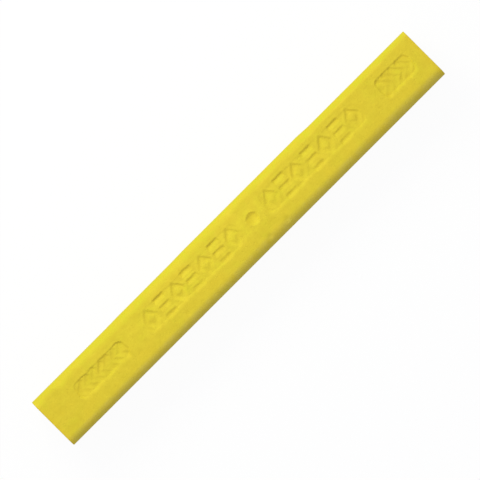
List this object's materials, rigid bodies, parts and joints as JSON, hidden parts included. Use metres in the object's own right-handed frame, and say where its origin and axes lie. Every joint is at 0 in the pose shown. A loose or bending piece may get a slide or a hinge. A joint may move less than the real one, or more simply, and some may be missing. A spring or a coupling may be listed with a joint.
{
  "type": "water-soluble ink block",
  "caption": "Square stick of pressed yellow pigment with rounded long edges, square-cut ends and a stamped ornament on its top face.",
  "frame": {"origin": "centre of the resting face", "axes": "+X along the stick towards the end with the shorter row of chevrons, +Y across it, +Z out of the stamped face"},
  "size_m": [0.07, 0.0082, 0.008],
  "materials": {
    "pressed_pigment": "matte, slightly waxy pressed pigment and clay, unglazed, sun yellow with a faint green cast"
  },
  "bodies": {
    "root": {"ink_block": "pressed_pigment"}
  },
  "joints": []
}
